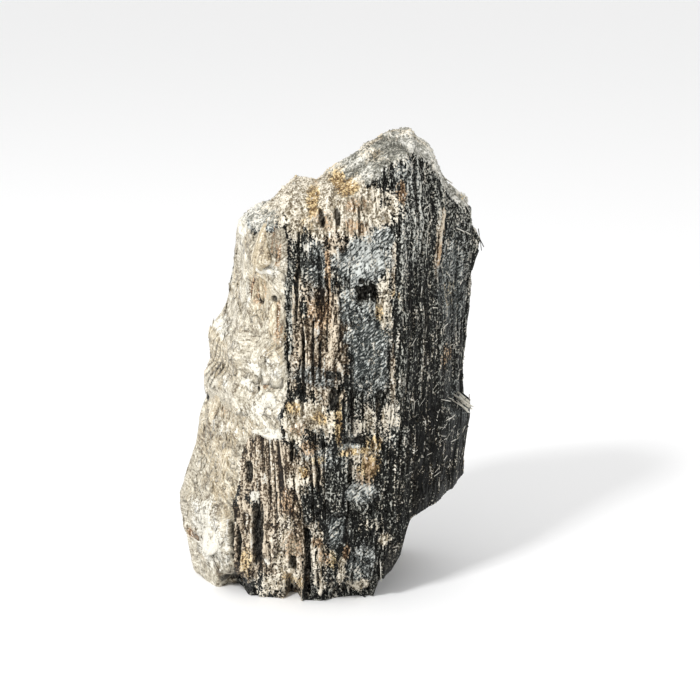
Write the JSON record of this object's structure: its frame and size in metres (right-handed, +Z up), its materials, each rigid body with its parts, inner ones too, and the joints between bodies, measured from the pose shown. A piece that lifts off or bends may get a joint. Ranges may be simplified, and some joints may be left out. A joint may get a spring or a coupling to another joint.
{
  "type": "tourmaline crystal specimen",
  "caption": "Rough lump of black tourmaline columns with a cream mica skin on its left side, standing upright on its broken base.",
  "frame": {"origin": "middle of the bounding box's bottom face, on the surface the lump stands on", "axes": "+Z up along the columns, which are the longest way through the lump; -Y is the front face; +X is to the right, away from the mica"},
  "size_m": [0.0608, 0.0412, 0.0925],
  "materials": {
    "tourmaline": "satin",
    "mica": "satin",
    "ochre_crust": "matte"
  },
  "bodies": {
    "root": {"tourmaline_crystal": "tourmaline"}
  },
  "joints": []
}
